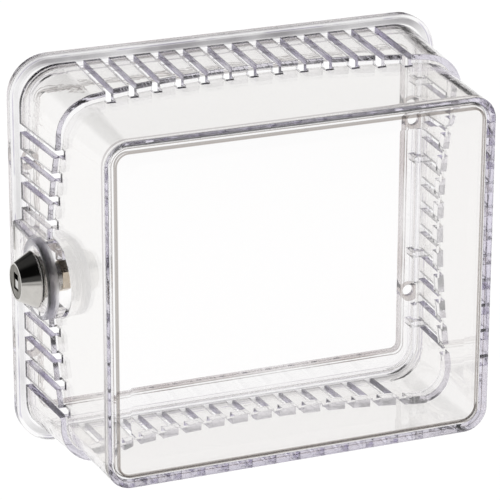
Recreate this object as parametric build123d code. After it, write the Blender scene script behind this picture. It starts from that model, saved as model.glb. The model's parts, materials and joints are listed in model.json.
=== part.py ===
from build123d import *
import math
import os

# Clear thermostat lock box for a wall: a base ring, a ventilated cover that hooks on at the
# right and swings, and a small wafer lock in a boss on the left side.
# Frame: X right, Z up, Y towards the wall. The wall plane is Y = 0, so the box lies in Y < 0.
# A depth is measured from the wall plane towards the room, along -Y.

# ---------------------------------------------------------------- driving dimensions (mm)
# base ring
BASE_WIDTH = 166.5
BASE_HEIGHT = 149.2
BASE_CORNER = 15.0
LIP_DEPTH = 3.5
RING_WIDTH_X = 12.25
RING_WIDTH_Z = 14.85
OPENING_CORNER = 2.5
RIB_THICKNESS = 1.8
RIB_HEIGHT = 2.8
RIB_CLEARANCE = 0.2
LIP_EDGE_ROUND = 0.6
SCREW_EDGE_X = 8.15
SCREW_SPACING_Z = 72.6
SCREW_HOLE_RADIUS = 2.2
SCREW_HEAD_RADIUS = 3.6
SCREW_HEAD_DEPTH = 2.0
RIB_GAP_RADIUS = 4.6

# cover
WALL = 2.5
COVER_GAP = 0.1
SKIRT_INSET = 3.4
SKIRT_CORNER = 14.5
SKIRT_DRAFT = 3.2
SHOULDER_MID_DEPTH = 27.2
SHOULDER_CORNER_DEPTH = 38.0
SHOULDER_ARC_X = 66.5
SHOULDER_ARC_Z = 52.5
FRONT_DEPTH = 75.0
FRONT_INSET_X = 9.65
FRONT_INSET_Z = 10.4
FRONT_CORNER = 9.0
SHOULDER_CORNER = 12.0
BOX_DRAFT = 2.8
PANE = 2.5
PANE_WEDGE = 0.4
PANE_MARGIN = 7.0
FRONT_EDGE_ROUND = 0.6
INNER_PANE_ROUND = 1.8

# vent slots
SLOT_WIDTH = 3.2
SLOT_PITCH = 9.5
HOOK_BAND = 2.8
SLOT_NOTCH = 2.0
TOP_SLOTS = 13
RIGHT_SLOTS = 11
LEFT_SLOTS_EACH_SIDE = 4
LEFT_SLOT_START = 20.4

# lock boss on the left side
BOSS_RADIUS = 14.2
BOSS_CENTRE_DEPTH = 29.0
BOSS_DRAFT = 2.0
BOSS_PLATE = 3.3
BOSS_EDGE_ROUND = 0.8

# hooks at the right and the strike at the left, both on the base ring
HOOK_PLACES = (-5, -2, 2, 5)
HOOK_WIDTH = 2.4
HOOK_SWING_GAP = 0.15
HOOK_TIP_THICKNESS = 2.0
HOOK_TIP_REACH = 0.35
HOOK_STEM = 3.6
HOOK_CLEARANCE = 0.4
STRIKE_FROM_Z = 7.7
STRIKE_TO_Z = 11.1
STRIKE_STEM = 2.0
STRIKE_FINGER = 2.2
STRIKE_CLEARANCE = 0.35
STRIKE_CATCH_GAP = 0.5

# lock housing, along X through the boss; distances inward run towards +X
LOCK_DEPTH = 27.2
COLLAR_BIG_RADIUS = 10.7
COLLAR_SMALL_RADIUS = 6.9
COLLAR_LENGTH = 6.9
COLLAR_ROUND = 0.5
BARREL_RADIUS = 6.0
BARREL_FLAT = 5.4
BARREL_LENGTH = 6.2
GASKET = 0.2
GASKET_RADIUS = 9.4
WASHER = 0.5
WASHER_RADIUS = 8.6
NUT = 1.5
NUT_ACROSS = 14.5
FIT = 0.12

# plug, its wafers and its shutter
FACE_RADIUS = 6.2
FACE_RECESS = 0.15
HEAD_THICKNESS = 1.8
PLUG_RADIUS = 4.2
RUNNING_FIT = 0.05
KEYWAY_WIDTH = 1.5
KEYWAY_HEIGHT = 6.4
KEYWAY_END_WALL = 0.9
MOUTH_WIDTH = 4.8
MOUTH_DEPTH = 3.8
WAFER_COUNT = 5
WAFER_THICKNESS = 0.8
WAFER_WIDTH = 4.4
WAFER_PITCH = 1.5
WAFER_START = 4.5
WAFER_FIT = 0.08
WAFER_TRAVEL = 0.6
WAFER_WINDOW_WIDTH = 1.9
WAFER_WINDOW_HEIGHT = 4.6
WAFER_LUG = 1.1
WAFER_LUG_HEIGHT = 0.8
SPRING_POCKET = 2.2
SPRING_RADIUS = 0.36
SPRING_WIRE_RADIUS = 0.09
SPRING_TURNS = 4
SHUTTER_RECESS = 0.3
SHUTTER_THICKNESS = 0.4
SHUTTER_LENGTH = 2.9
SHUTTER_HINGE_Z = -2.4
SHUTTER_EYE_RADIUS = 0.65
SHUTTER_PIN_RADIUS = 0.35
SHUTTER_PIN_HOLD = 0.7
SHUTTER_SIDE_GAP = 0.1

# cam and its fixings on the plug's tail
STOP_WASHER = 0.75
STOP_PIN_RADIUS = 0.4
STOP_PIN_CIRCLE = 5.45
STOP_PIN_ANGLE = 225
PLUG_TURN = 90
STOP_ANGLE_GAP = 6
TAIL_SQUARE = 5.0
CAM_THICKNESS = 1.6
CAM_LENGTH = 11.2
CAM_WIDTH = 5.6
CAM_HUB_RADIUS = 5.2
CAM_NUT = 3.2
CAM_NUT_ACROSS = 10.6
STUD_RADIUS = 2.3
STUD_PROUD = 0.5
END_FLOAT = 0.05

# ---------------------------------------------------------------- worked-out values
OVERSHOOT = 5.0
JOIN = 1.0
OPENING_WIDTH = BASE_WIDTH - 2 * RING_WIDTH_X
OPENING_HEIGHT = BASE_HEIGHT - 2 * RING_WIDTH_Z
SCREW_SPACING_X = BASE_WIDTH - 2 * SCREW_EDGE_X
FRONT_WIDTH = BASE_WIDTH - 2 * FRONT_INSET_X
FRONT_HEIGHT = BASE_HEIGHT - 2 * FRONT_INSET_Z
SKIRT_WIDTH = BASE_WIDTH - 2 * SKIRT_INSET
SKIRT_HEIGHT = BASE_HEIGHT - 2 * SKIRT_INSET
SKIRT_SLOPE = math.tan(math.radians(SKIRT_DRAFT))
BOX_SLOPE = math.tan(math.radians(BOX_DRAFT))
BOX_CORNER_SLOPE = (FRONT_CORNER - SHOULDER_CORNER) / (FRONT_DEPTH - SHOULDER_CORNER_DEPTH)
COVER_REAR = LIP_DEPTH + COVER_GAP
RIB_DEPTH = LIP_DEPTH + RIB_HEIGHT
RIB_INSET = WALL + SKIRT_SLOPE * RIB_HEIGHT + RIB_CLEARANCE
BAND_FRONT_DEPTH = LIP_DEPTH + HOOK_BAND
BOSS_FACE_X = -BASE_WIDTH / 2
PLATE_INNER_X = BOSS_FACE_X + BOSS_PLATE
BARREL_END_X = BOSS_FACE_X + BARREL_LENGTH
COLLAR_BACK_X = BOSS_FACE_X - GASKET
COLLAR_FRONT_X = COLLAR_BACK_X - COLLAR_LENGTH
FACE_X = COLLAR_FRONT_X + FACE_RECESS
HEAD_BACK_X = FACE_X + HEAD_THICKNESS
STOP_WASHER_X = BARREL_END_X + END_FLOAT
CAM_X = STOP_WASHER_X + STOP_WASHER
CAM_NUT_X = CAM_X + CAM_THICKNESS
STUD_END_X = CAM_NUT_X + CAM_NUT + STUD_PROUD
PLUG_BORE = PLUG_RADIUS + RUNNING_FIT
GROOVE_REACH = PLUG_RADIUS + WAFER_TRAVEL + FIT
WAFER_RADIUS = PLUG_RADIUS - WAFER_FIT


# ---------------------------------------------------------------- shared shapes
def front_plane(depth):
    """Sketch plane parallel to the wall: local x is X, local y is Z, its normal is -Y."""
    return Plane.XZ.offset(depth)


def block(x_from, x_to, depth_from, depth_to, z_from, z_to):
    """Axis-aligned block between two X, two depths and two Z."""
    size = (x_to - x_from, depth_to - depth_from, z_to - z_from)
    centre = ((x_from + x_to) / 2, -(depth_from + depth_to) / 2, (z_from + z_to) / 2)
    return Pos(*centre) * Box(*size)


def straight_box(width, height, corner, start, end):
    """Rounded-rectangle prism between two depths."""
    outline = front_plane(start) * RectangleRounded(width, height, corner)
    return extrude(outline, amount=end - start)


def lofted_box(outlines):
    """Prism through (width, height, corner, depth) outlines, with flat flanks."""
    sections = []
    for width, height, corner, depth in outlines:
        sections.append(front_plane(depth) * RectangleRounded(width, height, corner))
    return loft(sections, ruled=True)


def skirt_outline(depth, inset):
    shrink = SKIRT_SLOPE * (depth - LIP_DEPTH) + inset
    return SKIRT_WIDTH - 2 * shrink, SKIRT_HEIGHT - 2 * shrink, SKIRT_CORNER - inset, depth


def box_outline(depth, inset):
    shrink = BOX_SLOPE * (depth - FRONT_DEPTH) + inset
    corner = FRONT_CORNER + BOX_CORNER_SLOPE * (depth - FRONT_DEPTH) - inset
    return FRONT_WIDTH - 2 * shrink, FRONT_HEIGHT - 2 * shrink, corner, depth


def lock_cylinder(radius, x_from, x_to):
    """Cylinder on the lock's axis between two X."""
    return extrude(lock_plane(x_from) * Circle(radius), amount=x_to - x_from)


def lock_plane(x):
    """Sketch plane across the lock's axis: local x is Y, local y is Z, its normal is +X."""
    return Plane(origin=(x, -LOCK_DEPTH, 0), x_dir=(0, 1, 0), z_dir=(1, 0, 0))


def lock_block(x_from, x_to, width, height):
    """Block centred on the lock's axis: width along Y, height along Z."""
    return extrude(lock_plane(x_from) * Rectangle(width, height), amount=x_to - x_from)


def hexagon(across):
    return RegularPolygon(across / 2, 6, major_radius=False, rotation=30)


# ---------------------------------------------------------------- cover
def shoulder_profile(half_arc, shift):
    """Side view of the skirt: its front edge bows back towards the wall in the middle."""
    span = BASE_WIDTH
    corner = -(SHOULDER_CORNER_DEPTH - shift)
    middle = -(SHOULDER_MID_DEPTH - shift)
    with BuildSketch() as sketch:
        with BuildLine():
            Polyline((-half_arc, corner), (-span, corner), (-span, OVERSHOOT),
                     (span, OVERSHOOT), (span, corner), (half_arc, corner))
            ThreePointArc((half_arc, corner), (0, middle), (-half_arc, corner))
        make_face()
    return sketch.sketch


def shoulder_mask(shift):
    """Everything behind the bowed front edge of the skirt, on all four sides."""
    span = BASE_WIDTH
    top_view = Plane(origin=(0, 0, -span), x_dir=(1, 0, 0), z_dir=(0, 0, 1))
    side_view = Plane(origin=(span, 0, 0), x_dir=(0, 0, 1), z_dir=(-1, 0, 0))
    along_z = extrude(top_view * shoulder_profile(SHOULDER_ARC_X, shift), amount=2 * span)
    along_x = extrude(side_view * shoulder_profile(SHOULDER_ARC_Z, shift), amount=2 * span)
    return along_z & along_x


def shoulder_depth(position, half_arc):
    """Depth of the shoulder at a distance from the middle of its side."""
    rise = SHOULDER_CORNER_DEPTH - SHOULDER_MID_DEPTH
    radius = (half_arc ** 2 + rise ** 2) / (2 * rise)
    return SHOULDER_MID_DEPTH + radius - math.sqrt(radius ** 2 - position ** 2)


def skirt_solid(inset, rear_depth):
    shape = lofted_box([skirt_outline(rear_depth, inset),
                        skirt_outline(SHOULDER_CORNER_DEPTH + OVERSHOOT, inset)])
    return shape & shoulder_mask(inset)


def outer_box_solid():
    shape = lofted_box([box_outline(COVER_REAR, 0), box_outline(FRONT_DEPTH, 0)])
    return fillet(shape.faces().sort_by(Axis.Y)[0].edges(), FRONT_EDGE_ROUND)


def inner_box_solid():
    """Hollow of the front box; the pane thickens gently towards its border."""
    wedge_depth = FRONT_DEPTH - PANE - PANE_WEDGE
    width, height, corner, _ = box_outline(wedge_depth, WALL)
    pane = (width - 2 * PANE_MARGIN, height - 2 * PANE_MARGIN, corner, FRONT_DEPTH - PANE)
    shape = lofted_box([box_outline(-OVERSHOOT, WALL), box_outline(wedge_depth, WALL)])
    rim = shape.faces().sort_by(Axis.Y)[0].edges()
    shape = fillet(rim, INNER_PANE_ROUND)
    face = shape.faces().sort_by(Axis.Y)[0]
    bounds = face.bounding_box().size
    base = (bounds.X, bounds.Z, corner - INNER_PANE_ROUND, wedge_depth)
    return shape + lofted_box([base, pane])


def boss_outline(radius, rear_depth):
    """Tombstone outline seen from the left: straight sides and a half-round front end."""
    front = -(BOSS_CENTRE_DEPTH - LOCK_DEPTH)
    rear = LOCK_DEPTH - rear_depth
    with BuildSketch() as sketch:
        with BuildLine():
            Polyline((front, -radius), (rear, -radius), (rear, radius), (front, radius))
            ThreePointArc((front, radius), (front - radius, 0), (front, -radius))
        make_face()
    return sketch.sketch


def boss_solid(inset, x_from, x_to, rear_depth):
    sections = []
    for x in (x_from, x_to):
        radius = BOSS_RADIUS - inset + math.tan(math.radians(BOSS_DRAFT)) * (x - BOSS_FACE_X)
        sections.append(lock_plane(x) * boss_outline(radius, rear_depth))
    return loft(sections, ruled=True)


def boss_outer_solid(x_to):
    shape = boss_solid(0, BOSS_FACE_X, x_to, COVER_REAR)
    face = shape.faces().sort_by(Axis.X)[0]
    edges = face.edges().sort_by(Axis.Y)[:-1]
    return fillet(edges, BOSS_EDGE_ROUND)


def slot_centres(count):
    return [SLOT_PITCH * (index - (count - 1) / 2) for index in range(count)]


def slot_cutters():
    """One cutter for each vent slot, ending in a notch in the wall of the front box."""
    half = SLOT_WIDTH / 2
    inner_x = box_outline(SHOULDER_MID_DEPTH, WALL + 1)[0] / 2
    inner_z = box_outline(SHOULDER_MID_DEPTH, WALL + 1)[1] / 2
    outer_x = BASE_WIDTH / 2 + OVERSHOOT
    outer_z = BASE_HEIGHT / 2 + OVERSHOOT
    cutters = []
    for x in slot_centres(TOP_SLOTS):
        end = shoulder_depth(x, SHOULDER_ARC_X) + SLOT_NOTCH
        cutters.append(block(x - half, x + half, -OVERSHOOT, end, inner_z, outer_z))
        cutters.append(block(x - half, x + half, -OVERSHOOT, end, -outer_z, -inner_z))
    for z in slot_centres(RIGHT_SLOTS):
        end = shoulder_depth(z, SHOULDER_ARC_Z) + SLOT_NOTCH
        cutters.append(block(inner_x, outer_x, BAND_FRONT_DEPTH, end, z - half, z + half))
    for index in range(LEFT_SLOTS_EACH_SIDE):
        for side in (-1, 1):
            z = side * (LEFT_SLOT_START + SLOT_PITCH * index)
            end = shoulder_depth(z, SHOULDER_ARC_Z) + SLOT_NOTCH
            cutters.append(block(-outer_x, -inner_x, -OVERSHOOT, end, z - half, z + half))
    return cutters


def barrel_section(clearance):
    """Round barrel with two flats, which keeps the lock from turning in its hole."""
    circle = Circle(BARREL_RADIUS + clearance)
    return circle & Rectangle(2 * (BARREL_FLAT + clearance), 2 * (BARREL_RADIUS + clearance))


def cover_shell():
    inner_wall_x = -box_outline(SHOULDER_CORNER_DEPTH, 0)[0] / 2 + WALL
    shell = skirt_solid(0, COVER_REAR) + outer_box_solid() + boss_outer_solid(inner_wall_x)
    shell -= skirt_solid(WALL, -OVERSHOOT) + inner_box_solid()
    shell -= boss_solid(WALL, PLATE_INNER_X, inner_wall_x + OVERSHOOT, -OVERSHOOT)
    shell -= slot_cutters()
    hole = lock_plane(BOSS_FACE_X - OVERSHOOT) * barrel_section(FIT)
    shell -= extrude(hole, amount=2 * OVERSHOOT)
    return shell


# ---------------------------------------------------------------- base ring
def screw_places():
    places = []
    for x in (-SCREW_SPACING_X / 2, SCREW_SPACING_X / 2):
        for z in (-SCREW_SPACING_Z / 2, SCREW_SPACING_Z / 2):
            places.append((x, z))
    return places


def hook(z):
    """Hook that reaches out through a slot, in front of the cover's rear band."""
    half = HOOK_WIDTH / 2
    band_corner_swing = math.hypot(WALL, HOOK_BAND)
    tip_rear = LIP_DEPTH + band_corner_swing + HOOK_SWING_GAP
    tip_front = tip_rear + HOOK_TIP_THICKNESS
    wall_inner_x = skirt_outline(tip_front, WALL)[0] / 2
    stem_x = wall_inner_x - HOOK_CLEARANCE
    tip_x = SKIRT_WIDTH / 2 + HOOK_TIP_REACH
    stem = block(stem_x - HOOK_STEM, stem_x, LIP_DEPTH / 2, tip_front, z - half, z + half)
    tip = block(stem_x - HOOK_STEM, tip_x, tip_rear, tip_front, z - half, z + half)
    return stem + tip


def strike():
    """Post beside the cam's path with a finger that the turned cam goes behind."""
    cam_front_depth = LOCK_DEPTH + CAM_WIDTH / 2
    finger_rear = cam_front_depth + STRIKE_CATCH_GAP
    finger_front = finger_rear + STRIKE_FINGER
    stem_x = CAM_NUT_X + STRIKE_CLEARANCE
    stem = block(stem_x, stem_x + STRIKE_STEM, LIP_DEPTH / 2, finger_front,
                 STRIKE_FROM_Z, STRIKE_TO_Z)
    finger = block(CAM_X - STRIKE_CLEARANCE, stem_x + STRIKE_STEM, finger_rear, finger_front,
                   STRIKE_FROM_Z, STRIKE_TO_Z)
    return stem + finger


def rib():
    """Low wall that centres the cover, open round each screw head."""
    width, height, corner, _ = skirt_outline(LIP_DEPTH, RIB_INSET)
    outer = straight_box(width, height, corner, LIP_DEPTH / 2, RIB_DEPTH)
    twice = 2 * RIB_THICKNESS
    shape = outer - straight_box(width - twice, height - twice, corner - RIB_THICKNESS,
                                 -OVERSHOOT, RIB_DEPTH + OVERSHOOT)
    for x, z in screw_places():
        gap = front_plane(LIP_DEPTH) * Pos(x, z) * Circle(RIB_GAP_RADIUS)
        shape -= extrude(gap, amount=RIB_HEIGHT + OVERSHOOT)
    return shape


def base_ring():
    ring = straight_box(BASE_WIDTH, BASE_HEIGHT, BASE_CORNER, 0, LIP_DEPTH)
    ring = fillet(ring.faces().sort_by(Axis.Y)[0].edges(), LIP_EDGE_ROUND)
    ring -= straight_box(OPENING_WIDTH, OPENING_HEIGHT, OPENING_CORNER,
                         -OVERSHOOT, LIP_DEPTH + OVERSHOOT)
    ring += rib()
    for x, z in screw_places():
        hole = front_plane(-OVERSHOOT) * Pos(x, z) * Circle(SCREW_HOLE_RADIUS)
        ring -= extrude(hole, amount=LIP_DEPTH + 2 * OVERSHOOT)
        head = loft([front_plane(LIP_DEPTH - SCREW_HEAD_DEPTH) * Pos(x, z)
                     * Circle(SCREW_HOLE_RADIUS),
                     front_plane(LIP_DEPTH) * Pos(x, z) * Circle(SCREW_HEAD_RADIUS)])
        ring -= head
    for place in HOOK_PLACES:
        ring += hook(place * SLOT_PITCH)
    ring += strike()
    return ring


# ---------------------------------------------------------------- lock
def lock_housing():
    """Tapered collar outside the boss and a barrel with two flats through it."""
    collar = loft([lock_plane(COLLAR_FRONT_X) * Circle(COLLAR_SMALL_RADIUS),
                   lock_plane(COLLAR_BACK_X) * Circle(COLLAR_BIG_RADIUS)])
    back_edge = collar.faces().sort_by(Axis.X)[-1].edges()
    collar = fillet(back_edge, COLLAR_ROUND)
    barrel = extrude(lock_plane(COLLAR_BACK_X - COLLAR_ROUND) * barrel_section(0),
                     amount=BARREL_END_X - COLLAR_BACK_X + COLLAR_ROUND)
    housing = collar + barrel
    housing -= lock_cylinder(PLUG_BORE, COLLAR_FRONT_X, BARREL_END_X)
    housing -= lock_cylinder(FACE_RADIUS + RUNNING_FIT, COLLAR_FRONT_X, HEAD_BACK_X + END_FLOAT)
    groove_start = FACE_X + WAFER_START - WAFER_THICKNESS
    groove_width = WAFER_WIDTH + 2 * FIT
    housing -= lock_block(groove_start, BARREL_END_X, groove_width, 2 * GROOVE_REACH)
    housing -= lock_block(groove_start, BARREL_END_X, 2 * GROOVE_REACH, groove_width)
    return housing + stop_pin()


def stop_pin():
    """Pin on the barrel's end that stands in the stop washer's cut-out."""
    angle = math.radians(STOP_PIN_ANGLE)
    centre = Pos(STOP_PIN_CIRCLE * math.cos(angle), STOP_PIN_CIRCLE * math.sin(angle))
    section = lock_plane(BARREL_END_X - JOIN) * centre * Circle(STOP_PIN_RADIUS)
    return extrude(section, amount=JOIN + STOP_WASHER)


def ring_on_barrel(radius, x_from, thickness):
    section = lock_plane(x_from) * (Circle(radius) - barrel_section(FIT))
    return extrude(section, amount=thickness)


def lock_nut():
    section = hexagon(NUT_ACROSS) - Circle(BARREL_RADIUS + FIT)
    return extrude(lock_plane(PLATE_INNER_X + WASHER) * section, amount=NUT)


def wafer_side(index):
    """Wafers push out upwards and downwards by turns."""
    return 1 if index % 2 == 0 else -1


def wafer_x(index):
    return FACE_X + WAFER_START + index * WAFER_PITCH


def lug_block(index, x_from, x_to, clearance, z_low, z_high):
    """Block beside a wafer, on its spring's side; the Z values flip with the wafer."""
    side = wafer_side(index)
    y_from = WAFER_WIDTH / 2 - FIT
    y_to = WAFER_WIDTH / 2 + WAFER_LUG + clearance
    low, high = sorted((side * z_low, side * z_high))
    return block(x_from, x_to, LOCK_DEPTH - y_to, LOCK_DEPTH - y_from, low, high)


def wafer(index):
    """Thin plate with a window for the key and a lug for its spring."""
    x = wafer_x(index)
    half = WAFER_THICKNESS / 2
    plate = lock_block(x - half, x + half, WAFER_WIDTH, 2 * PLUG_RADIUS)
    plate &= lock_cylinder(WAFER_RADIUS, x - half, x + half)
    plate += lug_block(index, x - half, x + half, 0, -WAFER_LUG_HEIGHT / 2,
                       WAFER_LUG_HEIGHT / 2)
    return plate - lock_block(x - half, x + half, WAFER_WINDOW_WIDTH, WAFER_WINDOW_HEIGHT)


def wafer_spring(index):
    """Small coil spring between the wafer's lug and the end of its pocket."""
    side = wafer_side(index)
    y = -LOCK_DEPTH + WAFER_WIDTH / 2 + WAFER_LUG / 2 + WAFER_FIT
    low = -SPRING_POCKET + SPRING_WIRE_RADIUS + WAFER_FIT
    height = SPRING_POCKET - WAFER_LUG_HEIGHT / 2 - 2 * (SPRING_WIRE_RADIUS + WAFER_FIT)
    path = Helix(pitch=height / SPRING_TURNS, height=height, radius=SPRING_RADIUS)
    start = Plane(origin=path @ 0, z_dir=path % 0)
    coil = sweep(start * Circle(SPRING_WIRE_RADIUS), path=path, is_frenet=True)
    place = Pos(wafer_x(index), y, side * low)
    if side < 0:
        return place * Rot(180, 0, 0) * coil
    return place * coil


def lock_plug():
    """Turning core: face disc, slotted body, square tail and threaded stud."""
    plug = lock_cylinder(FACE_RADIUS, FACE_X, HEAD_BACK_X)
    plug += lock_cylinder(PLUG_RADIUS, FACE_X, BARREL_END_X)
    plug += lock_block(BARREL_END_X - JOIN, CAM_NUT_X, TAIL_SQUARE, TAIL_SQUARE)
    plug += lock_cylinder(STUD_RADIUS, CAM_NUT_X - JOIN, STUD_END_X)
    keyway_end = BARREL_END_X - KEYWAY_END_WALL
    plug -= lock_block(FACE_X, keyway_end, KEYWAY_WIDTH, KEYWAY_HEIGHT)
    plug -= lock_block(FACE_X, FACE_X + MOUTH_DEPTH, MOUTH_WIDTH, KEYWAY_HEIGHT)
    slot_half = WAFER_THICKNESS / 2 + WAFER_FIT
    for index in range(WAFER_COUNT):
        x = wafer_x(index)
        plug -= lock_block(x - slot_half, x + slot_half, WAFER_WIDTH + 2 * WAFER_FIT,
                           2 * FACE_RADIUS)
        pocket_top = WAFER_LUG_HEIGHT / 2 + WAFER_TRAVEL + WAFER_FIT
        plug -= lug_block(index, x - slot_half, x + slot_half, WAFER_FIT, -SPRING_POCKET,
                          pocket_top)
    return plug - shutter_pin_solid(RUNNING_FIT)


def shutter_x():
    return FACE_X + SHUTTER_RECESS + SHUTTER_EYE_RADIUS


def shutter_cylinder(radius, width):
    """Cylinder along Y on the shutter's hinge axis, centred on the keyway."""
    plane = Plane(origin=(shutter_x(), -LOCK_DEPTH, SHUTTER_HINGE_Z), z_dir=(0, 1, 0))
    return extrude(plane * Circle(radius), amount=width / 2, both=True)


def shutter_pin_solid(clearance):
    length = MOUTH_WIDTH + 2 * (SHUTTER_PIN_HOLD + clearance)
    return shutter_cylinder(SHUTTER_PIN_RADIUS + clearance, length)


def keyway_shutter():
    """Dust flap in the lower half of the mouth; it tips inward as the key goes in."""
    width = MOUTH_WIDTH - 2 * SHUTTER_SIDE_GAP
    front = shutter_x() - SHUTTER_EYE_RADIUS
    flap = block(front, front + SHUTTER_THICKNESS, LOCK_DEPTH - width / 2,
                 LOCK_DEPTH + width / 2, SHUTTER_HINGE_Z, SHUTTER_HINGE_Z + SHUTTER_LENGTH)
    eye = shutter_cylinder(SHUTTER_EYE_RADIUS, width)
    return flap + eye - shutter_cylinder(SHUTTER_PIN_RADIUS + RUNNING_FIT, 2 * width)


def tail_square(x_from, thickness):
    side = TAIL_SQUARE + 2 * FIT
    return lock_block(x_from, x_from + thickness, side, side)


def stop_washer():
    """Washer on the square tail; the ends of its cut-out meet the stop pin."""
    inner = STOP_PIN_CIRCLE - STOP_PIN_RADIUS - FIT
    first = math.radians(STOP_PIN_ANGLE - PLUG_TURN - STOP_ANGLE_GAP)
    last = math.radians(STOP_PIN_ANGLE + STOP_ANGLE_GAP)
    reach = 2 * BARREL_RADIUS
    points = [(reach * math.cos(a), reach * math.sin(a))
              for a in (first, (first + last) / 2, last)]
    with BuildSketch() as sketch:
        with BuildLine():
            Line((0, 0), points[0])
            ThreePointArc(*points)
            Line(points[2], (0, 0))
        make_face()
    section = Circle(BARREL_RADIUS) - (sketch.sketch - Circle(inner))
    washer = extrude(lock_plane(STOP_WASHER_X) * section, amount=STOP_WASHER)
    return washer - tail_square(STOP_WASHER_X, STOP_WASHER)


def lock_cam():
    """Cam arm that points to the wall when unlocked, along +Y at rest."""
    arm_centre = (CAM_LENGTH - CAM_WIDTH / 2) / 2
    section = Circle(CAM_HUB_RADIUS) + Pos(arm_centre, 0) * Rectangle(2 * arm_centre, CAM_WIDTH)
    section += Pos(2 * arm_centre, 0) * Circle(CAM_WIDTH / 2)
    cam = extrude(lock_plane(CAM_X) * section, amount=CAM_THICKNESS)
    return cam - tail_square(CAM_X, CAM_THICKNESS)


def cam_nut():
    section = hexagon(CAM_NUT_ACROSS) - Circle(STUD_RADIUS + FIT)
    return extrude(lock_plane(CAM_NUT_X) * section, amount=CAM_NUT)


def all_parts():
    parts = {
        "base_ring": base_ring(),
        "cover_shell": cover_shell(),
        "lock_housing": lock_housing(),
        "lock_gasket": ring_on_barrel(GASKET_RADIUS, COLLAR_BACK_X, GASKET),
        "lock_washer": ring_on_barrel(WASHER_RADIUS, PLATE_INNER_X, WASHER),
        "lock_nut": lock_nut(),
        "lock_plug": lock_plug(),
        "shutter_pin": shutter_pin_solid(0),
        "keyway_shutter": keyway_shutter(),
        "stop_washer": stop_washer(),
        "lock_cam": lock_cam(),
        "cam_nut": cam_nut(),
    }
    for index in range(WAFER_COUNT):
        parts[f"wafer_{index + 1}"] = wafer(index)
        parts[f"wafer_spring_{index + 1}"] = wafer_spring(index)
    return parts


os.makedirs("parts", exist_ok=True)
for node, shape in all_parts().items():
    export_step(shape, f"parts/{node}.step")
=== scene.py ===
import json
import math

import bpy
from mathutils import Matrix, Vector


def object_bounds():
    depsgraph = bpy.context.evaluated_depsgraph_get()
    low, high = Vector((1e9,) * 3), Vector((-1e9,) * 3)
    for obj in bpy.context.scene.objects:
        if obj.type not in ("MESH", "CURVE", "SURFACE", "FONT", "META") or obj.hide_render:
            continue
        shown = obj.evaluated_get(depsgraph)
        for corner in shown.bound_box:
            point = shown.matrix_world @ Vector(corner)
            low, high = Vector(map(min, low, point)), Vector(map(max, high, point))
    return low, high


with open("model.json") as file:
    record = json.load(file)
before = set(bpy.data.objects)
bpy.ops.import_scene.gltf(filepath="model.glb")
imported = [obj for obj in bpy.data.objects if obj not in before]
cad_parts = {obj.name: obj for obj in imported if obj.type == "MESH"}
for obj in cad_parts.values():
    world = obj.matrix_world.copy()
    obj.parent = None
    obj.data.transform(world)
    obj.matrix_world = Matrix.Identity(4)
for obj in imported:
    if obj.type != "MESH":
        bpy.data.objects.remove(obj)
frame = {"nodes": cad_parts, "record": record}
cad_low, cad_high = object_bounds()
nodes = frame["nodes"]

# ---------------------------------------------------------------- photograph's camera
# Pinhole camera fitted to the outlines in the photograph. All lengths are in metres.
FRAME_PIXELS = 500
FOCAL_PIXELS = 3144.4
SENSOR_MM = 36.0
CAMERA_YAW = math.radians(22.396)
CAMERA_PITCH = math.radians(20.671)
CAMERA_ROLL = math.radians(-0.186)
FRONT_DEPTH = 0.075
TARGET_RIGHT = 0.01877
TARGET_DOWN = 0.01506
TARGET_DISTANCE = 1.1037
CLIP_NEAR = 0.01
CLIP_FAR = 20.0


def make_camera():
    cos_yaw, sin_yaw = math.cos(CAMERA_YAW), math.sin(CAMERA_YAW)
    cos_pitch, sin_pitch = math.cos(CAMERA_PITCH), math.sin(CAMERA_PITCH)
    forward = Vector((sin_yaw * cos_pitch, cos_yaw * cos_pitch, -sin_pitch))
    level_right = Vector((cos_yaw, -sin_yaw, 0.0))
    level_down = forward.cross(level_right)
    cos_roll, sin_roll = math.cos(CAMERA_ROLL), math.sin(CAMERA_ROLL)
    right = level_right * cos_roll + level_down * sin_roll
    down = level_down * cos_roll - level_right * sin_roll
    front_centre = Vector((0.0, -FRONT_DEPTH, 0.0))
    place = (front_centre - right * TARGET_RIGHT - down * TARGET_DOWN
             - forward * TARGET_DISTANCE)
    data = bpy.data.cameras.new("photo_camera")
    data.sensor_width = SENSOR_MM
    data.lens = FOCAL_PIXELS / FRAME_PIXELS * SENSOR_MM
    data.clip_start, data.clip_end = CLIP_NEAR, CLIP_FAR
    camera = bpy.data.objects.new("photo_camera", data)
    bpy.context.scene.collection.objects.link(camera)
    axes = Matrix((right, -down, -forward)).transposed()
    camera.matrix_world = Matrix.Translation(place) @ axes.to_4x4()
    bpy.context.scene.camera = camera


# ---------------------------------------------------------------- node helpers
BEVEL_SAMPLES = 4


def math_node(tree, operation, *values):
    """A Math node; each value is a number or another node's output."""
    node = tree.nodes.new("ShaderNodeMath")
    node.operation = operation
    for place, value in enumerate(values):
        if isinstance(value, (int, float)):
            node.inputs[place].default_value = value
        else:
            tree.links.new(value, node.inputs[place])
    return node.outputs["Value"]


def ramp(tree, source, start, end, low, high):
    """A smooth step from low before start to high after end."""
    node = tree.nodes.new("ShaderNodeMapRange")
    node.interpolation_type = "SMOOTHSTEP"
    node.inputs["From Min"].default_value = start
    node.inputs["From Max"].default_value = end
    node.inputs["To Min"].default_value = low
    node.inputs["To Max"].default_value = high
    tree.links.new(source, node.inputs["Value"])
    return node.outputs["Result"]


def above(tree, source, start, end):
    """Zero before start, one after end."""
    return ramp(tree, source, start, end, 0.0, 1.0)


def below(tree, source, start, end):
    """One before start, zero after end."""
    return ramp(tree, source, start, end, 1.0, 0.0)


def band(tree, source, start, end, soft):
    """One between start and end, falling smoothly to zero within soft on each side."""
    return math_node(tree, "MULTIPLY", above(tree, source, start - soft, start),
                     below(tree, source, end, end + soft))


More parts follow.
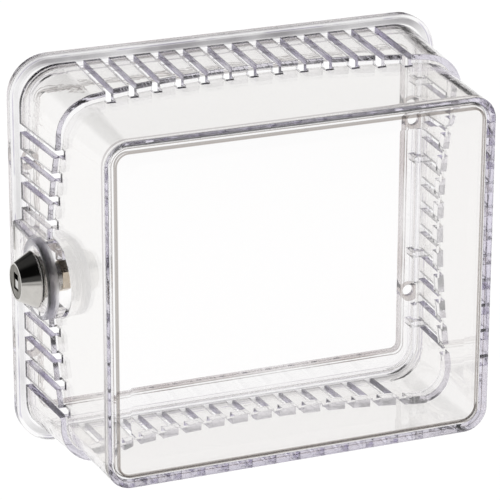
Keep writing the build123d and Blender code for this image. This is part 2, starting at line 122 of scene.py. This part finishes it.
def absolute(tree, value):
    return math_node(tree, "ABSOLUTE", value)


def combined(tree, operation, values):
    """One result of an operation over any number of values, taken in order."""
    result = values[0]
    for value in values[1:]:
        result = math_node(tree, operation, result, value)
    return result


def product(tree, *masks):
    return combined(tree, "MULTIPLY", masks)


def largest(tree, *masks):
    return combined(tree, "MAXIMUM", masks)


def total(tree, *values):
    return combined(tree, "ADD", values)


def length(tree, first, second):
    """The length of a flat vector, from its two parts."""
    squares = total(tree, product(tree, first, first), product(tree, second, second))
    return math_node(tree, "SQRT", squares)


def split(tree, vector):
    node = tree.nodes.new("ShaderNodeSeparateXYZ")
    tree.links.new(vector, node.inputs["Vector"])
    return [node.outputs[axis] for axis in "XYZ"]


def inset_from(tree, x, z, width, height, corner):
    """How far a point lies inside a rounded rectangle that faces the room."""
    over_x = total(tree, absolute(tree, x), corner - width / 2)
    over_z = total(tree, absolute(tree, z), corner - height / 2)
    outside = length(tree, math_node(tree, "MAXIMUM", over_x, 0.0),
                     math_node(tree, "MAXIMUM", over_z, 0.0))
    inside = math_node(tree, "MINIMUM", largest(tree, over_x, over_z), 0.0)
    return math_node(tree, "SUBTRACT", corner, total(tree, outside, inside))


def noise(tree, vector, scale, detail=2.0, stretch=(1.0, 1.0, 1.0), distortion=0.0):
    mapping = tree.nodes.new("ShaderNodeMapping")
    mapping.inputs["Scale"].default_value = stretch
    texture = tree.nodes.new("ShaderNodeTexNoise")
    texture.inputs["Scale"].default_value = scale
    texture.inputs["Detail"].default_value = detail
    texture.inputs["Distortion"].default_value = distortion
    tree.links.new(vector, mapping.inputs["Vector"])
    tree.links.new(mapping.outputs["Vector"], texture.inputs["Vector"])
    return texture.outputs["Fac"]


def mix_color(tree, amount, first, second):
    """First where amount is 0 and second where it is 1; each is a colour or an output."""
    node = tree.nodes.new("ShaderNodeMix")
    node.data_type = "RGBA"
    tree.links.new(amount, node.inputs["Factor"])
    sockets = [socket for socket in node.inputs if socket.type == "RGBA"]
    for socket, color in zip(sockets, (first, second)):
        if isinstance(color, tuple):
            socket.default_value = (*color, 1.0)
        else:
            tree.links.new(color, socket)
    return next(socket for socket in node.outputs if socket.type == "RGBA")


def new_material(name):
    material = bpy.data.materials.new(name)
    material.use_nodes = True
    tree = material.node_tree
    shader = tree.nodes["Principled BSDF"]
    coordinates = tree.nodes.new("ShaderNodeTexCoord")
    return material, tree, shader, coordinates


def add_bump(tree, shader, height, distance, under=None):
    """Relief of the given depth, laid over the normal that is passed as under."""
    bump = tree.nodes.new("ShaderNodeBump")
    bump.inputs["Strength"].default_value = 1.0
    bump.inputs["Distance"].default_value = distance
    tree.links.new(height, bump.inputs["Height"])
    if under is not None:
        tree.links.new(under, bump.inputs["Normal"])
    tree.links.new(bump.outputs["Normal"], shader.inputs["Normal"])
    return bump.outputs["Normal"]


def rounded_normal(tree, radius):
    """Normals that shade edges as if they were rounded, as a moulding's edges are."""
    bevel = tree.nodes.new("ShaderNodeBevel")
    bevel.samples = BEVEL_SAMPLES
    bevel.inputs["Radius"].default_value = radius
    return bevel.outputs["Normal"]


# ---------------------------------------------------------------- clear plastic
PLASTIC_IOR = 1.5
PLASTIC_SPECULAR = 0.25
FACE_ON_TINT = (0.995, 0.995, 0.992)
EDGE_ON_TINT = (0.83, 0.805, 0.76)
FACING_BLEND = 0.5
ABSORPTION_COLOR = (0.48, 0.42, 0.64, 1.0)
ABSORPTION_DENSITY = 12.0
PLASTIC_EDGE_RADIUS = 0.0005
FLOW_START_Y, FLOW_FULL_Y = -0.040, -0.030
FLOW_SCALE, FLOW_DETAIL, FLOW_DISTORTION, FLOW_DEPTH = 160.0, 1.0, 0.6, 0.00004
SWELL_SCALE, SWELL_DEPTH = 40.0, 0.00002

# Outlines are (width, height, corner radius), and bands are (start, end, soft edge), measured
# inward from the outline. Pairs are where a ramp starts and ends.
RING_OUTLINE = (0.1665, 0.1492, 0.015)
OPENING_OUTLINE = (0.142, 0.1195, 0.0025)
PANE_OUTLINE = (0.1472, 0.1284, 0.009)

PATCH_SCALE, PATCH_DETAIL, PATCH_STEP, PATCH_LOW = 30.0, 3.0, (0.35, 0.65), 0.45
DASH_SCALE, DASH_DETAIL, DASH_STEP = 90.0, 1.0, (0.45, 0.55)
# Painted shade: a grey band across the ring's ledge, full along the top and weaker down the
# sides; the ledge is also matt.
LEDGE_BAND, LEDGE_SHADE_COLOR, LEDGE_ROUGHNESS = (0.0017, 0.0036, 0.0004), (0.33, 0.32, 0.33), 0.25
LEDGE_TOP_SHADE_Z, LEDGE_SIDE_SHADE = (0.064, 0.072), 0.35
# Painted shade lines along the ring's rim, opening and step, standing for the dark lines that
# refraction draws at its edges.
RIM_LINE, RIM_SHADE_LINE_COLOR = (0.0009, 0.0012, 0.0002), (0.50, 0.47, 0.58)
OPENING_LINE, OPENING_SHADE_LINE_COLOR = (-0.0002, 0.0001, 0.00015), (0.45, 0.38, 0.35)
STEP_LINE, STEP_SHADE_LINE_COLOR = (-0.0015, -0.0012, 0.00015), (0.10, 0.07, 0.06)
SCREW_X, SCREW_Z = 0.0751, 0.0363
# Painted shade in the screw sinks.
SINK_RADIUS, SINK_SHADE_COLOR = (0.0036, 0.0038), (0.42, 0.37, 0.35)
# Painted shade lines along the rib's edges.
RIB_LINES = ((0.00605, 0.0062, 0.0001), (0.00765, 0.0078, 0.0001))
RIB_SHADE_LINE_COLOR = (0.30, 0.27, 0.32)

SKIRT_Y = (-0.042, -0.038)
FACING_STEP = (0.8, 0.95)
# Painted shade on the slot walls, tinted grey-lavender in streaks; the walls are also frosted.
TOP_SLOT_Z, TOP_SLOT_X = (0.064, 0.065), (0.064, 0.066)
SIDE_SLOT_X, SIDE_SLOT_Z = (0.072, 0.073), (0.0195, 0.057, 0.001)
STREAK_SCALE, STREAK_DETAIL, STREAK_STRETCH = 300.0, 3.0, (1.0, 0.25, 1.0)
STREAK_STEP, STREAK_LOW = (0.35, 0.6), 0.35
SLOT_WALL_SHADE_COLOR, SLOT_WALL_ROUGHNESS = (0.48, 0.44, 0.58), 0.15
PANE_Y = (-0.0722, -0.0715)
# Painted shade lines around the pane, where refraction at its fillets shows dark lines.
PANE_LINES = ((0.0024, 0.0026, 0.0001), (0.0041, 0.0045, 0.0003))
PANE_SHADE_LINE_COLOR = (0.22, 0.19, 0.17)
INSIDE_STEP = (0.0015, 0.0018)
# Painted crease shadow inside the pane: a light line all round and a dark one along the bottom
# only.
CREASE_Y, CREASE_SHADOW_COLOR = (-0.0713, -0.0704, 0.0002), (0.45, 0.42, 0.42)
LOW_CREASE_Y, LOW_CREASE_SHADOW_COLOR = (-0.0716, -0.0688, 0.0003), (0.05, 0.04, 0.035)
LOW_CREASE_Z = (-0.056, -0.054)
PANE_RIM, PANE_RIM_ROUGHNESS = (0.0022, 0.0026), 0.1
BOSS_CENTRE_DEPTH = 0.029
BOSS_RIM_RADIUS, BOSS_RIM_X = (0.0128, 0.0150, 0.0004), (-0.0797, -0.0793)
BOSS_RIM_COLOR, BOSS_RIM_ROUGHNESS = (0.98, 0.97, 1.0), 0.5


def clear_plastic(name, marks):
    """Clear moulded plastic; marks adds one moulding's painted shade lines and shade patches,
    and its matt places.
    """
    material, tree, shader, coordinates = new_material(name)
    shader.inputs["IOR"].default_value = PLASTIC_IOR
    shader.inputs["Specular IOR Level"].default_value = PLASTIC_SPECULAR
    shader.inputs["Transmission Weight"].default_value = 1.0
    point = coordinates.outputs["Object"]
    facing = tree.nodes.new("ShaderNodeLayerWeight")
    facing.inputs["Blend"].default_value = FACING_BLEND
    color = mix_color(tree, facing.outputs["Facing"], FACE_ON_TINT, EDGE_ON_TINT)
    color, roughness = marks(tree, coordinates, color)
    tree.links.new(color, shader.inputs["Base Color"])
    tree.links.new(roughness, shader.inputs["Roughness"])
    _, y, _ = split(tree, point)
    flow = product(tree, noise(tree, point, FLOW_SCALE, FLOW_DETAIL, distortion=FLOW_DISTORTION),
                   above(tree, y, FLOW_START_Y, FLOW_FULL_Y))
    normal = add_bump(tree, shader, flow, FLOW_DEPTH,
                      rounded_normal(tree, PLASTIC_EDGE_RADIUS))
    add_bump(tree, shader, noise(tree, point, SWELL_SCALE), SWELL_DEPTH, normal)
    volume = tree.nodes.new("ShaderNodeVolumeAbsorption")
    volume.inputs["Color"].default_value = ABSORPTION_COLOR
    volume.inputs["Density"].default_value = ABSORPTION_DENSITY
    tree.links.new(volume.outputs["Volume"], tree.nodes["Material Output"].inputs["Volume"])
    return material


def lines_at(tree, source, bands):
    return largest(tree, *(band(tree, source, *line) for line in bands))


def ring_marks(tree, coordinates, color):
    """The ring's matt ledge under a painted grey shade, strongest along the top, painted shade
    in its screw sinks, and painted shade lines along its rim, rib and opening.
    """
    point = coordinates.outputs["Object"]
    x, _, z = split(tree, point)
    wide, high = absolute(tree, x), absolute(tree, z)
    inset = inset_from(tree, x, z, *RING_OUTLINE)
    opening = inset_from(tree, x, z, *OPENING_OUTLINE)
    patches = ramp(tree, noise(tree, point, PATCH_SCALE, PATCH_DETAIL), *PATCH_STEP,
                   PATCH_LOW, 1.0)
    dashes = above(tree, noise(tree, point, DASH_SCALE, DASH_DETAIL), *DASH_STEP)
    # Painted shade on the ledge, full along the top and weaker on the sides.
    top_shade_weight = ramp(tree, high, *LEDGE_TOP_SHADE_Z, LEDGE_SIDE_SHADE, 1.0)
    ledge = product(tree, band(tree, inset, *LEDGE_BAND), patches, top_shade_weight)
    from_screw = length(tree, math_node(tree, "SUBTRACT", wide, SCREW_X),
                        math_node(tree, "SUBTRACT", high, SCREW_Z))
    # Every colour below is painted shade: the ledge's grey band, the dark lines of rim, opening,
    # step and rib, and the shaded screw sinks.
    for mask, mark_color in (
            (ledge, LEDGE_SHADE_COLOR),
            (product(tree, band(tree, inset, *RIM_LINE), dashes), RIM_SHADE_LINE_COLOR),
            (product(tree, band(tree, opening, *OPENING_LINE), patches), OPENING_SHADE_LINE_COLOR),
            (product(tree, band(tree, opening, *STEP_LINE), patches), STEP_SHADE_LINE_COLOR),
            (below(tree, from_screw, *SINK_RADIUS), SINK_SHADE_COLOR),
            (product(tree, lines_at(tree, inset, RIB_LINES), patches), RIB_SHADE_LINE_COLOR)):
        color = mix_color(tree, mask, color, mark_color)
    return color, product(tree, ledge, LEDGE_ROUGHNESS)


def cover_marks(tree, coordinates, color):
    """The cover's slot walls under painted shade, its pane's painted shade lines and painted
    crease shadows, and the boss's satin rim.
    """
    point = coordinates.outputs["Object"]
    x, y, z = split(tree, point)
    across, _, up = split(tree, coordinates.outputs["Normal"])
    wide, high = absolute(tree, x), absolute(tree, z)
    top_walls = product(tree, above(tree, absolute(tree, across), *FACING_STEP),
                        above(tree, high, *TOP_SLOT_Z), below(tree, wide, *TOP_SLOT_X))
    side_walls = product(tree, above(tree, absolute(tree, up), *FACING_STEP),
                         above(tree, wide, *SIDE_SLOT_X), band(tree, high, *SIDE_SLOT_Z))
    streaks = ramp(tree, noise(tree, point, STREAK_SCALE, STREAK_DETAIL, STREAK_STRETCH),
                   *STREAK_STEP, STREAK_LOW, 1.0)
    walls = product(tree, largest(tree, top_walls, side_walls), above(tree, y, *SKIRT_Y),
                    streaks)
    inset = inset_from(tree, x, z, *PANE_OUTLINE)
    near_pane = below(tree, y, *PANE_Y)
    inside = above(tree, inset, *INSIDE_STEP)
    # Painted crease shadow, dark along the bottom only.
    low_crease_shadow = product(tree, band(tree, y, *LOW_CREASE_Y), inside,
                         below(tree, z, *LOW_CREASE_Z))
    pane_rim = product(tree, below(tree, inset, *PANE_RIM), near_pane)
    from_boss = length(tree, total(tree, y, BOSS_CENTRE_DEPTH), z)
    boss_rim = product(tree, band(tree, from_boss, *BOSS_RIM_RADIUS),
                       below(tree, x, *BOSS_RIM_X))
    # Painted shade on the slot walls, painted shade lines and crease shadows at the pane; the
    # boss rim is near-white and satin.
    for mask, mark_color in (
            (walls, SLOT_WALL_SHADE_COLOR),
            (product(tree, lines_at(tree, inset, PANE_LINES), near_pane), PANE_SHADE_LINE_COLOR),
            (product(tree, band(tree, y, *CREASE_Y), inside), CREASE_SHADOW_COLOR),
            (low_crease_shadow, LOW_CREASE_SHADOW_COLOR),
            (boss_rim, BOSS_RIM_COLOR)):
        color = mix_color(tree, mask, color, mark_color)
    roughness = total(tree, product(tree, walls, SLOT_WALL_ROUGHNESS),
                      product(tree, pane_rim, PANE_RIM_ROUGHNESS),
                      product(tree, boss_rim, BOSS_RIM_ROUGHNESS))
    return color, roughness


# ---------------------------------------------------------------- metals and nylon
MOTTLE_SCALE, MOTTLE_DETAIL, MOTTLE_SHADE = 400.0, 4.0, 0.8
WEAR_SCALE, WEAR_DETAIL, WEAR_STEP, WEAR = 250.0, 3.0, (0.3, 0.7), 0.3
GRAIN_DETAIL, GRAIN_STRETCH = 3.0, (1.0, 0.3, 0.3)
METAL_EDGE_RADIUS = 0.0001
NYLON_SCALE, NYLON_DETAIL, NYLON_SHADE = 500.0, 3.0, 0.85
NYLON_GLOSS_SCALE, NYLON_GLOSS_STEP, NYLON_ROUGHNESS = 700.0, (0.3, 0.7), (0.4, 0.6)
NYLON_GRAIN_SCALE, NYLON_GRAIN_DEPTH = 3000.0, 0.00001


def mottled(tree, point, color, scale, detail, shade):
    """The colour, fading in places to a darker shade of itself."""
    darker = tuple(shade * part for part in color)
    return mix_color(tree, noise(tree, point, scale, detail), darker, color)


def metal(name, color, roughness, grain, depth):
    """Plated or bare metal, with fine grain in its surface and uneven, handled gloss."""
    material, tree, shader, coordinates = new_material(name)
    point = coordinates.outputs["Object"]
    shader.inputs["Metallic"].default_value = 1.0
    tree.links.new(mottled(tree, point, color, MOTTLE_SCALE, MOTTLE_DETAIL, MOTTLE_SHADE),
                   shader.inputs["Base Color"])
    gloss = ramp(tree, noise(tree, point, WEAR_SCALE, WEAR_DETAIL), *WEAR_STEP,
                 roughness * (1.0 - WEAR), roughness * (1.0 + WEAR))
    tree.links.new(gloss, shader.inputs["Roughness"])
    add_bump(tree, shader, noise(tree, point, grain, GRAIN_DETAIL, GRAIN_STRETCH), depth,
             rounded_normal(tree, METAL_EDGE_RADIUS))
    return material


def nylon(name, color):
    """Matt plastic with a fine moulded grain."""
    material, tree, shader, coordinates = new_material(name)
    point = coordinates.outputs["Object"]
    tree.links.new(mottled(tree, point, color, NYLON_SCALE, NYLON_DETAIL, NYLON_SHADE),
                   shader.inputs["Base Color"])
    tree.links.new(ramp(tree, noise(tree, point, NYLON_GLOSS_SCALE), *NYLON_GLOSS_STEP,
                        *NYLON_ROUGHNESS), shader.inputs["Roughness"])
    add_bump(tree, shader, noise(tree, point, NYLON_GRAIN_SCALE), NYLON_GRAIN_DEPTH)
    return material


# Each metal's colour, roughness, grain's scale and grain's depth.
METALS = {
    "polished_chrome": ((0.62, 0.60, 0.57), 0.10, 1500.0, 0.000001),
    "satin_nickel": ((0.17, 0.16, 0.135), 0.3, 3000.0, 0.000004),
    "bright_steel": ((0.62, 0.61, 0.59), 0.15, 2500.0, 0.000002),
    "warm_nickel": ((0.66, 0.57, 0.46), 0.25, 1500.0, 0.000003),
    "zinc_steel": ((0.62, 0.60, 0.56), 0.3, 1500.0, 0.000003),
    "brass": ((0.80, 0.60, 0.30), 0.3, 2000.0, 0.000003),
    "spring_steel": ((0.6, 0.6, 0.6), 0.25, 2000.0, 0.000002),
}
NYLON_COLOR = (0.6, 0.6, 0.6)


def dress_nodes():
    materials = {name: metal(name, *values) for name, values in METALS.items()}
    materials["grey_nylon"] = nylon("grey_nylon", NYLON_COLOR)
    mouldings = {
        "base_ring": clear_plastic("clear_plastic_ring", ring_marks),
        "cover_shell": clear_plastic("clear_plastic_cover", cover_marks),
    }
    slot_of = {part["node"]: part["material_slot"] for part in frame["record"]["subparts"]}
    for name, piece in nodes.items():
        piece.data.materials.clear()
        piece.data.materials.append(mouldings.get(name) or materials[slot_of[name]])


# ---------------------------------------------------------------- studio
FLOOR_HALF = 6.0
FLOOR_COLOR = (0.1, 0.1, 0.1, 1.0)
FLOOR_ROUGHNESS = 0.9
FLOOR_LIT_Y, FLOOR_NEAR_LIGHT, FLOOR_FAR_LIGHT = (-0.7, -0.25), 0.5, 1.02
WHITE = (1.0, 1.0, 1.0, 1.0)

# Studio light over the parts of a direction: each ramp is (start, end, low, high), and each
# wing is a band of x with a ramp of z.
BACK_Y = (-0.1, 0.3, 0.10, 1.05)
RIGHT_X = (0.0, 0.25, 0.10, 0.8)
HORIZON_Z = (0.05, 0.18, 0.9, 0.0)
CEILING_Z = (0.37, 0.50, 1.0, 0.06)
LEFT_WING = ((-0.16, 0.14, 0.1), (0.07, 0.16, 0.0, 0.92))
RIGHT_WING = ((0.46, 0.75, 0.04), (0.02, 0.07, 0.0, 0.95))
STRIP_RISE_X = (-0.16, -0.12, 0.0, 1.6)
STRIP_FALL_X = (-0.08, -0.04, 1.0, 0.0)
STRIP_Z = (0.6, 0.7, 0.0, 1.0)

MOST_BOUNCES = 32
GLOSS_BOUNCES = 16


def make_floor():
    """A pale floor under the part, whose glow fades toward the camera."""
    low_z = cad_low.z
    corners = [(side_x * FLOOR_HALF, side_y * FLOOR_HALF, low_z)
               for side_x, side_y in ((-1, -1), (1, -1), (1, 1), (-1, 1))]
    mesh = bpy.data.meshes.new("floor")
    mesh.from_pydata(corners, [], [(0, 1, 2, 3)])
    floor = bpy.data.objects.new("floor", mesh)
    bpy.context.scene.collection.objects.link(floor)
    material, tree, shader, coordinates = new_material("floor")
    shader.inputs["Base Color"].default_value = FLOOR_COLOR
    shader.inputs["Roughness"].default_value = FLOOR_ROUGHNESS
    shader.inputs["Specular IOR Level"].default_value = 0.0
    shader.inputs["Emission Color"].default_value = WHITE
    _, y, _ = split(tree, coordinates.outputs["Object"])
    tree.links.new(ramp(tree, y, *FLOOR_LIT_Y, FLOOR_NEAR_LIGHT, FLOOR_FAR_LIGHT),
                   shader.inputs["Emission Strength"])
    mesh.materials.append(material)


def make_world():
    """A bright surround under a darker ceiling, with two dark wings and a bright strip."""
    world = bpy.data.worlds.new("studio")
    bpy.context.scene.world = world
    world.use_nodes = True
    tree = world.node_tree
    tree.nodes.clear()
    coordinates = tree.nodes.new("ShaderNodeTexCoord")
    x, y, z = split(tree, coordinates.outputs["Generated"])
    surround = largest(tree, ramp(tree, y, *BACK_Y), ramp(tree, x, *RIGHT_X),
                       ramp(tree, z, *HORIZON_Z))
    wings = [product(tree, band(tree, x, *across), ramp(tree, z, *rise))
             for across, rise in (LEFT_WING, RIGHT_WING)]
    beside_wings = math_node(tree, "SUBTRACT", 1.0, largest(tree, *wings))
    backdrop = product(tree, surround, ramp(tree, z, *CEILING_Z), beside_wings)
    strip = product(tree, ramp(tree, x, *STRIP_RISE_X), ramp(tree, x, *STRIP_FALL_X),
                    ramp(tree, z, *STRIP_Z))
    background = tree.nodes.new("ShaderNodeBackground")
    output = tree.nodes.new("ShaderNodeOutputWorld")
    tree.links.new(total(tree, backdrop, strip), background.inputs["Strength"])
    tree.links.new(background.outputs["Background"], output.inputs["Surface"])


def set_light_paths():
    """Enough bounces for the many clear walls, and colours shown as they are."""
    scene = bpy.context.scene
    scene.view_settings.view_transform = "Standard"
    scene.cycles.max_bounces = MOST_BOUNCES
    scene.cycles.transmission_bounces = MOST_BOUNCES
    scene.cycles.transparent_max_bounces = GLOSS_BOUNCES
    scene.cycles.glossy_bounces = GLOSS_BOUNCES
    scene.cycles.use_denoising = True


make_camera()
dress_nodes()
make_floor()
make_world()
set_light_paths()
